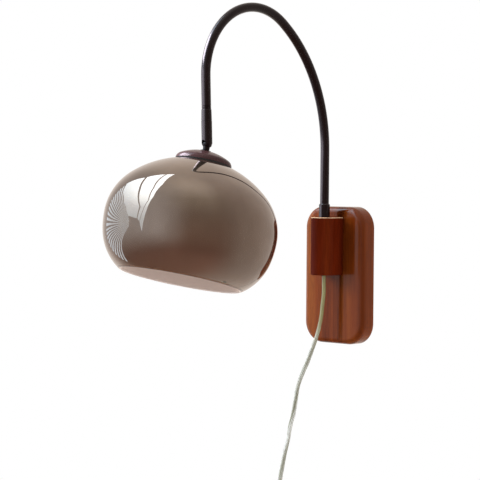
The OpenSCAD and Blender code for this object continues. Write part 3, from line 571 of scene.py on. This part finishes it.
# Materials
GRAIN_BUMP = 0.25
FIBRE_SHADES = [(0.3, (0.72, 0.68, 0.64)), (0.65, (1.08, 1.06, 1.04))]
FIBRE_SHARE = 0.8
PORE_SHARE = 0.35
BLOCK_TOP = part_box("arm_block")[1][2]
CHAMFER = 0.0012
# A pale line painted along the block's top chamfer as a highlight
PAINTED_EDGE_HIGHLIGHT = (0.62, 0.40, 0.25)
PAINTED_HIGHLIGHT_BAND = [(0.0, (0, 0, 0)), (0.12, (0.9, 0.9, 0.9)), (0.9, (0.9, 0.9, 0.9)), (0.99, (0, 0, 0))]
SMOKE_SHADES = [(0.25, (0.34, 0.265, 0.21)), (0.75, (0.48, 0.39, 0.32))]
OLIVE_ENDS = 0.085
OLIVE_FADE = 0.03
# Colours round the two cores: lightest on each crown as a painted highlight, darkest at the sides and in the
# groove as painted shade; the second core is darker overall
OLIVE_WITH_PAINTED_SHADE = [
    (0.0, (0.12, 0.11, 0.045)), (0.25, (0.25, 0.235, 0.11)), (0.5, (0.11, 0.10, 0.04)),
    (0.75, (0.21, 0.195, 0.09)), (1.0, (0.12, 0.11, 0.045)),
]
SILVER_WITH_PAINTED_SHADE = [
    (0.0, (0.14, 0.135, 0.06)), (0.1, (0.33, 0.33, 0.27)), (0.25, (0.60, 0.60, 0.57)),
    (0.4, (0.33, 0.33, 0.27)), (0.5, (0.11, 0.105, 0.045)), (0.6, (0.23, 0.23, 0.17)),
    (0.75, (0.43, 0.43, 0.38)), (0.9, (0.23, 0.23, 0.17)), (1.0, (0.14, 0.135, 0.06)),
]
STRAND_STRETCH = (900, 14, 1)
STRAND_SHADES = [(0.1, (0.88, 0.88, 0.86)), (0.9, (1.06, 1.06, 1.05))]
STRAND_SHARE = 0.3


def new_material(name, **sockets):
    material = bpy.data.materials.new(name)
    material.use_nodes = True
    shader = material.node_tree.nodes["Principled BSDF"]
    set_inputs(shader, **sockets)
    return material, material.node_tree, shader


def add_bump(tree, shader, height, strength, distance):
    bump = add_node(tree, "ShaderNodeBump")
    set_inputs(bump, Strength=strength, Distance=distance)
    tree.links.new(height, bump.inputs["Height"])
    tree.links.new(bump.outputs["Normal"], shader.inputs["Normal"])


def mottled(name, dark, light, rough, cloud=40.0, grain=1800.0, bump=0.0, **sockets):
    """A finish whose colour clouds between two tones and whose roughness varies with its grain."""
    material, tree, shader = new_material(name, **sockets)
    group = add_node(tree, "ShaderNodeGroup", node_tree=MOTTLE)
    set_inputs(group, Cloud=cloud, Grain=grain)
    colour = ramp(tree, group.outputs["Cloud"], [(0.3, dark), (0.7, light)])
    tree.links.new(colour, shader.inputs["Base Color"])
    tree.links.new(spread(tree, group.outputs["Grain"], to=rough), shader.inputs["Roughness"])
    if bump:
        add_bump(tree, shader, group.outputs["Grain"], strength=GRAIN_BUMP, distance=bump)
    return material


def paint_edge_highlight(tree, body, top):
    """The body colour with a pale line painted on the chamfer under a height, as a painted highlight."""
    height = axes(tree, object_place(tree))[2]
    highlight_mask = ramp(tree, spread(tree, height, between=(top - CHAMFER, top)), PAINTED_HIGHLIGHT_BAND)
    return mix_colour(tree, highlight_mask, body, PAINTED_EDGE_HIGHLIGHT)


def lacquered_wood(name, dark, middle, light, coat, painted_highlight_to=None):
    """Stained wood under lacquer, with a painted highlight line up to a height where one is given."""
    material, tree, shader = new_material(name, Specular_IOR_Level=0.0, Coat_Weight=coat,
                                          Coat_Roughness=0.05, Coat_IOR=1.5)
    grain = add_node(tree, "ShaderNodeGroup", node_tree=GRAIN)
    tone = ramp(tree, grain.outputs["Tone"], [(0.3, dark), (0.5, middle), (0.72, light)])
    fibre = ramp(tree, grain.outputs["Fibre"], FIBRE_SHADES)
    body = mix_colour(tree, FIBRE_SHARE, tone, fibre, "MULTIPLY")
    pores = spread(tree, grain.outputs["Pores"], to=(0, PORE_SHARE))
    colour = mix_colour(tree, pores, body, dark)
    if painted_highlight_to is not None:
        colour = paint_edge_highlight(tree, colour, painted_highlight_to)
    tree.links.new(colour, shader.inputs["Base Color"])
    tree.links.new(spread(tree, grain.outputs["Fibre"], to=(0.32, 0.5)), shader.inputs["Roughness"])
    add_bump(tree, shader, grain.outputs["Fibre"], strength=0.12, distance=0.0002)
    return material


def smoked_glass():
    """Half-mirrored smoky glass: it reflects, and lets a little through."""
    material, tree, shader = new_material("smoked glass", Metallic=0.9, Transmission_Weight=0.6, IOR=1.5,
                                          Coat_Weight=0.35, Coat_Roughness=0.01)
    group = add_node(tree, "ShaderNodeGroup", node_tree=MOTTLE)
    set_inputs(group, Cloud=14.0, Grain=60.0)
    tree.links.new(ramp(tree, group.outputs["Cloud"], SMOKE_SHADES), shader.inputs["Base Color"])
    tree.links.new(spread(tree, group.outputs["Grain"], to=(0.015, 0.045)), shader.inputs["Roughness"])
    add_bump(tree, shader, group.outputs["Cloud"], strength=0.02, distance=0.002)
    return material


def twin_cord_skin():
    """Clear cord: stranded cores seen through glossy plastic, which is olive near the block; each core has a
    painted highlight on its crown and painted shade at its sides and in the groove between the cores.
    """
    material, tree, shader = new_material("clear twin cord", Coat_Weight=0.8, Coat_Roughness=0.08)
    place = add_node(tree, "ShaderNodeUVMap", uv_map=CORD_MAP).outputs["UV"]
    along, round_it, _ = axes(tree, place)
    fade = spread(tree, along, between=(OLIVE_ENDS - OLIVE_FADE, OLIVE_ENDS + OLIVE_FADE), smooth=True)
    core = mix_colour(tree, fade, ramp(tree, round_it, OLIVE_WITH_PAINTED_SHADE), ramp(tree, round_it, SILVER_WITH_PAINTED_SHADE))
    strands = add_node(tree, "ShaderNodeTexWave", wave_type="BANDS", bands_direction="DIAGONAL")
    set_inputs(strands, Scale=0.35, Distortion=1.2, Detail=1.0)
    tree.links.new(stretched(tree, place, Scale=STRAND_STRETCH), strands.inputs["Vector"])
    shine = ramp(tree, strands.outputs["Fac"], STRAND_SHADES)
    colour = mix_colour(tree, STRAND_SHARE, core, shine, "MULTIPLY")
    tree.links.new(colour, shader.inputs["Base Color"])
    tree.links.new(spread(tree, strands.outputs["Fac"], to=(0.2, 0.34)), shader.inputs["Roughness"])
    add_bump(tree, shader, strands.outputs["Fac"], strength=0.05, distance=0.00005)
    return material


WOOD = lacquered_wood("red brown lacquered wood", dark=(0.062, 0.0095, 0.0016), middle=(0.155, 0.030, 0.004),
                      light=(0.27, 0.078, 0.013), coat=1.0)
# The block's top chamfer carries a painted highlight.
BLOCK_WOOD = lacquered_wood("dark red lacquered wood", dark=(0.040, 0.0035, 0.001),
                            middle=(0.082, 0.009, 0.002), light=(0.15, 0.025, 0.005), coat=0.12,
                            painted_highlight_to=BLOCK_TOP)
DARK_METAL = mottled("dark brown enamelled metal", dark=(0.003, 0.0011, 0.0016), light=(0.005, 0.002, 0.003),
                     rough=(0.26, 0.36), bump=0.00003, Specular_IOR_Level=0.12, Coat_Weight=0.8,
                     Coat_Roughness=0.15, Coat_IOR=1.5)
CAP_METAL = mottled("cap brown satin metal", dark=(0.040, 0.019, 0.019), light=(0.056, 0.028, 0.028),
                    rough=(0.24, 0.34), bump=0.00003, Specular_IOR_Level=0.08, Coat_Weight=0.4,
                    Coat_Roughness=0.08, Coat_IOR=1.5)
STEEL = mottled("zinc plated steel", dark=(0.46, 0.46, 0.45), light=(0.58, 0.58, 0.56), rough=(0.25, 0.42),
                bump=0.00003, Metallic=1.0)
BLACK_NICKEL = mottled("black nickel", dark=(0.030, 0.027, 0.028), light=(0.045, 0.040, 0.041),
                       rough=(0.10, 0.20), Metallic=1.0)
CHROME = mottled("polished chrome", dark=(0.60, 0.60, 0.60), light=(0.68, 0.68, 0.67), rough=(0.06, 0.14),
                 Metallic=1.0)
BRASS = mottled("turned brass", dark=(0.52, 0.36, 0.14), light=(0.62, 0.45, 0.20), rough=(0.2, 0.34),
                bump=0.00002, Metallic=1.0)
GLASS = smoked_glass()
# Inner face of the shade: paler than the outside and glowing, painted light for daylight through the glass,
# though it is no lamp
GLASS_INSIDE_PAINTED_GLOW = mottled("inner face of the glass with painted glow", dark=(0.40, 0.32, 0.28), light=(0.48, 0.39, 0.345),
                       rough=(0.08, 0.16), cloud=14.0, grain=60.0, Coat_Weight=0.2, Coat_Roughness=0.03,
                       Emission_Color=(0.42, 0.345, 0.31, 1), Emission_Strength=0.5)
GLASS_EDGE = mottled("polished glass edge", dark=(0.10, 0.045, 0.022), light=(0.16, 0.075, 0.04),
                     rough=(0.05, 0.12), cloud=60.0, Coat_Weight=0.5, Coat_Roughness=0.03)
BULB_GLASS = mottled("opal bulb glass", dark=(0.80, 0.79, 0.75), light=(0.86, 0.85, 0.82), rough=(0.12, 0.22),
                     cloud=20.0, Subsurface_Weight=0.2)
PORCELAIN = mottled("glazed porcelain", dark=(0.70, 0.68, 0.63), light=(0.78, 0.77, 0.72), rough=(0.1, 0.22),
                    Coat_Weight=0.4)
BLACK_PLASTIC = mottled("black moulded plastic", dark=(0.012, 0.012, 0.012), light=(0.02, 0.02, 0.02),
                        rough=(0.32, 0.5), bump=0.00005)
BROWN_PLASTIC = mottled("brown moulded plastic", dark=(0.024, 0.012, 0.008), light=(0.034, 0.018, 0.012),
                        rough=(0.2, 0.32), bump=0.00003, Coat_Weight=0.2)
RUBBER = mottled("black rubber", dark=(0.014, 0.014, 0.014), light=(0.022, 0.022, 0.022), rough=(0.6, 0.8),
                 bump=0.00006)
CORD_SKIN = twin_cord_skin()

ENAMELLED = "arm_tube arm_collar collar_set_screw lock_ring joint_coupling joint_sleeve"
FINISHES = [
    (WOOD, "wall_plate"),
    (BLOCK_WOOD, "arm_block"),
    (DARK_METAL, ENAMELLED),
    (CAP_METAL, "shade_cap"),
    (STEEL, "hanger_plate hanger_screws block_screws pivot_washer spring_washer arm_nut"),
    (STEEL, "swivel_clip clamp_disc stem_nut switch_screws bulb_base"),
    (CHROME, "plug_pins"),
    (BLACK_NICKEL, "joint_ball"),
    (BRASS, "pivot_bush joint_nipple ball_seat screw_shell centre_contact terminal_screws"),
    (GLASS, "shade_glass"),
    (BULB_GLASS, "bulb_glass"),
    (PORCELAIN, "holder_insert"),
    (BLACK_PLASTIC, "holder_cap holder_body cord_tie bulb_contact"),
    (BROWN_PLASTIC, "switch_base switch_cover switch_rocker plug_body"),
    (RUBBER, "cord_bushing cap_gasket inner_gasket"),
    (CORD_SKIN, "cord_drop cord_coil cord_tail arm_lead joint_lead head_lead"),
]
for finish, names in FINISHES:
    for name in names.split():
        NODES[name].data.materials.clear()
        NODES[name].data.materials.append(finish)

cord.data.materials.append(CORD_SKIN)
add_shade(GLASS, GLASS_INSIDE_PAINTED_GLOW, GLASS_EDGE)
add_screws("slotted_block_screws", "block_screws", STEEL)
add_screws("slotted_hanger_screws", "hanger_screws", STEEL)


# Floor
FLOOR_AT = (0, -0.2, -0.53)
FLOOR_R = 1.25
FLOOR_SIDES = 96


def add_floor():
    deselect_all()
    bpy.ops.mesh.primitive_circle_add(vertices=FLOOR_SIDES, radius=FLOOR_R, fill_type="NGON",
                                      location=FLOOR_AT)
    floor = bpy.context.object
    floor.name = "pale_floor"
    paint = mottled("pale floor paint", dark=(0.74, 0.73, 0.71), light=(0.80, 0.79, 0.77), rough=(0.5, 0.65),
                    cloud=3.0, grain=90.0)
    floor.data.materials.append(paint)
    floor.visible_glossy = False


# Room tone: white behind the object; in reflections a warm room, lit from the window's side
WINDOW_WAY = Vector((-0.634, -0.770, 0.072))
WINDOW_GLOW = (0.56, 0.55, 0.57)
GLOW_HEIGHTS = (-0.75, 0.15)
BEHIND_LAMP = (-0.2, 0.6)
ROOM_FILL = 0.35
ROOM_BY_HEIGHT = [
    (0.0, (0.28, 0.15, 0.11)), (0.22, (0.19, 0.092, 0.062)), (0.47, (0.22, 0.14, 0.105)),
    (0.67, (0.23, 0.17, 0.135)), (0.88, (0.36, 0.31, 0.26)), (0.94, (0.52, 0.47, 0.42)),
    (1.0, (0.76, 0.70, 0.64)),
]
WALL_BY_SIDE = [
    (0.0, (0.90, 0.82, 0.76)), (0.25, (0.74, 0.66, 0.60)), (0.5, (0.50, 0.44, 0.41)),
    (0.75, (0.38, 0.32, 0.29)), (1.0, (0.30, 0.24, 0.21)),
]


def room_colour(tree, way):
    """The room's colour in a direction: bands by height, a wall behind the lamp, a glow by the window."""
    x, y, z = axes(tree, way)
    room = ramp(tree, spread(tree, z, between=(-1, 1)), ROOM_BY_HEIGHT)
    wall = ramp(tree, spread(tree, x, between=(-1, 1)), WALL_BY_SIDE)
    unlit = mix_colour(tree, spread(tree, y, between=BEHIND_LAMP, smooth=True), room, wall)
    toward = add_node(tree, "ShaderNodeVectorMath", operation="DOT_PRODUCT")
    toward.inputs[1].default_value = WINDOW_WAY
    tree.links.new(way, toward.inputs[0])
    lit = add_node(tree, "ShaderNodeMath", operation="MULTIPLY")
    tree.links.new(spread(tree, toward.outputs["Value"], smooth=True), lit.inputs[0])
    tree.links.new(spread(tree, z, between=GLOW_HEIGHTS, smooth=True), lit.inputs[1])
    return mix_colour(tree, lit.outputs["Value"], unlit, WINDOW_GLOW)


def add_room_tone():
    world = bpy.data.worlds.new("studio")
    bpy.context.scene.world = world
    world.use_nodes = True
    tree = world.node_tree
    tree.nodes.clear()
    way = add_node(tree, "ShaderNodeTexCoord").outputs["Generated"]
    ray = add_node(tree, "ShaderNodeLightPath")
    room = add_node(tree, "ShaderNodeBackground")
    tree.links.new(room_colour(tree, way), room.inputs["Color"])
    strength = spread(tree, ray.outputs["Is Diffuse Ray"], to=(1, ROOM_FILL))
    tree.links.new(strength, room.inputs["Strength"])
    white = add_node(tree, "ShaderNodeBackground")
    set_inputs(white, Color=(1, 1, 1, 1), Strength=1.0)
    choose = add_node(tree, "ShaderNodeMixShader")
    tree.links.new(ray.outputs["Is Camera Ray"], choose.inputs["Fac"])
    tree.links.new(room.outputs["Background"], choose.inputs[1])
    tree.links.new(white.outputs["Background"], choose.inputs[2])
    surface = add_node(tree, "ShaderNodeOutputWorld").inputs["Surface"]
    tree.links.new(choose.outputs["Shader"], surface)


# Window at the left: tall panes that reach overhead, and slats beside them, as glowing strips
WINDOW_FROM = Vector((-0.06, -0.32, 0.10))
WINDOW_FAR = 3.0
WINDOW_LIGHT = 4.5
SKY_BY_HEIGHT = [
    (0.0, (0.24, 0.28, 0.325)), (0.17, (0.26, 0.31, 0.355)), (0.37, (0.35, 0.41, 0.475)),
    (0.53, (0.50, 0.60, 0.69)), (0.75, (0.70, 0.82, 0.95)),
]
PANE_LINES = [
    [(-0.87, 0.05, 0.48), (-0.87, -0.12, 0.45), (-0.84, -0.36, 0.39),
     (-0.78, -0.55, 0.29), (-0.69, -0.70, 0.18)],
    [(-0.62, -0.04, 0.78), (-0.58, -0.43, 0.69), (-0.51, -0.68, 0.53),
     (-0.41, -0.83, 0.37), (-0.44, -0.88, 0.16)],
    [(-0.38, 0.07, 0.92), (-0.31, -0.47, 0.83), (-0.26, -0.78, 0.57),
     (-0.33, -0.89, 0.31), (-0.38, -0.92, 0.12)],
    [(-0.29, 0.13, 0.95), (-0.20, -0.33, 0.92), (-0.19, -0.71, 0.68),
     (-0.23, -0.91, 0.35), (-0.30, -0.95, -0.08)],
]
FRAME_GAP = 0.06  # share of a pane on either side
SLAT_SIDE = Vector((-1.665, 1.379, 0.097))  # to the line of the middle slat
SLAT_REACH = 0.66  # where a slat starts, as a share of its distance
SLAT_LENGTH = 60.0
SLAT_COUNT = 25
SLAT_RISE = 0.70
SLAT_SHARE = 0.52  # of the step between slats
FAN_TOP = 1.95
FAN_STEP = 2 * FAN_TOP / (SLAT_COUNT - 1)


def strip_faces(start, rows):
    """Faces of a strip of point pairs, from the number of its first point."""
    pairs = range(start, start + 2 * (rows - 1), 2)
    return [(k, k + 1, k + 3, k + 2) for k in pairs]


def pane_points(first, second):
    """Pairs of points across one pane, inside its frame."""
    points = []
    for a, b in zip(first, second):
        near = WINDOW_FROM + WINDOW_FAR * Vector(a)
        far = WINDOW_FROM + WINDOW_FAR * Vector(b)
        points += [near.lerp(far, FRAME_GAP), near.lerp(far, 1 - FRAME_GAP)]
    return points


def slat_points(number):
    """Two pairs of points along one slat; the slats lie closer together at eye level."""
    middle = FAN_TOP - number * FAN_STEP
    half = SLAT_SHARE / 2 * FAN_STEP
    points = []
    for edge in (middle - half, middle + half):
        side = SLAT_SIDE + Vector((0, 0, SLAT_RISE * math.sinh(edge)))
        near = WINDOW_FROM + side + side.length * SLAT_REACH * WINDOW_WAY
        points += [near, near + SLAT_LENGTH * WINDOW_WAY]
    return points


def window_light():
    material, tree, shader = new_material("window light", Base_Color=(0, 0, 0, 1), Roughness=1.0,
                                          Emission_Strength=WINDOW_LIGHT)
    away = add_node(tree, "ShaderNodeVectorMath", operation="SUBTRACT")
    away.inputs[1].default_value = WINDOW_FROM
    tree.links.new(object_place(tree), away.inputs[0])
    way = add_node(tree, "ShaderNodeVectorMath", operation="NORMALIZE")
    tree.links.new(away.outputs["Vector"], way.inputs[0])
    height = axes(tree, way.outputs["Vector"])[2]
    tree.links.new(ramp(tree, height, SKY_BY_HEIGHT), shader.inputs["Emission Color"])
    return material


def add_window():
    strips = [pane_points(first, second) for first, second in zip(PANE_LINES, PANE_LINES[1:])]
    strips += [slat_points(k) for k in range(SLAT_COUNT)]
    points = []
    faces = []
    for strip in strips:
        faces += strip_faces(len(points), len(strip) // 2)
        points += strip
    window = mesh_piece("window", points, faces=faces)
    window.data.materials.append(window_light())
    window.visible_camera = False


# Lights
STRIP_TINT = (0.97, 0.87, 1.0)
METAL_FORMS = ENAMELLED + " shade_cap"


def add_softbox(name, at, aim, size, power, shines_on=""):
    """A soft light that isn't seen itself; one that shines on named nodes alone is mirrored in them."""
    data = bpy.data.lights.new(name, "AREA")
    data.shape = "RECTANGLE"
    data.size, data.size_y = size
    data.energy = power
    light = bpy.data.objects.new(name, data)
    turn = (Vector(aim) - Vector(at)).to_track_quat("-Z", "Y")
    light.matrix_world = Matrix.Translation(at) @ turn.to_matrix().to_4x4()
    light.visible_camera = False
    light.visible_glossy = bool(shines_on)
    bpy.context.scene.collection.objects.link(light)
    if shines_on:
        data.color = STRIP_TINT
        light.light_linking.receiver_collection = bpy.data.collections.new(name)
        for node in shines_on.split():
            light.light_linking.receiver_collection.objects.link(NODES[node])


add_floor()
add_room_tone()
add_window()
add_softbox("window_softbox", at=(-1.35, -1.45, 0.8), aim=(0, -0.1, 0.05), size=(0.8, 1.0), power=50)
add_softbox("room_softbox", at=(2.0, 0.2, 0.25), aim=(0, -0.1, 0.05), size=(1.0, 1.2), power=34)
add_softbox("ceiling_softbox", at=(0.5, -0.9, 2.2), aim=(0, -0.15, 0.05), size=(2.2, 2.2), power=12)
add_softbox("crook_strip", at=(-1.04, -1.0, 1.08), aim=(0, -0.22, 0.33), size=(1.3, 0.9), power=60,
            shines_on=METAL_FORMS)
add_softbox("leg_strip", at=(-0.86, -1.49, 0.26), aim=(0, -0.26, 0.22), size=(2.1, 0.5), power=9,
            shines_on=METAL_FORMS)
bpy.context.scene.view_settings.view_transform = "Standard"
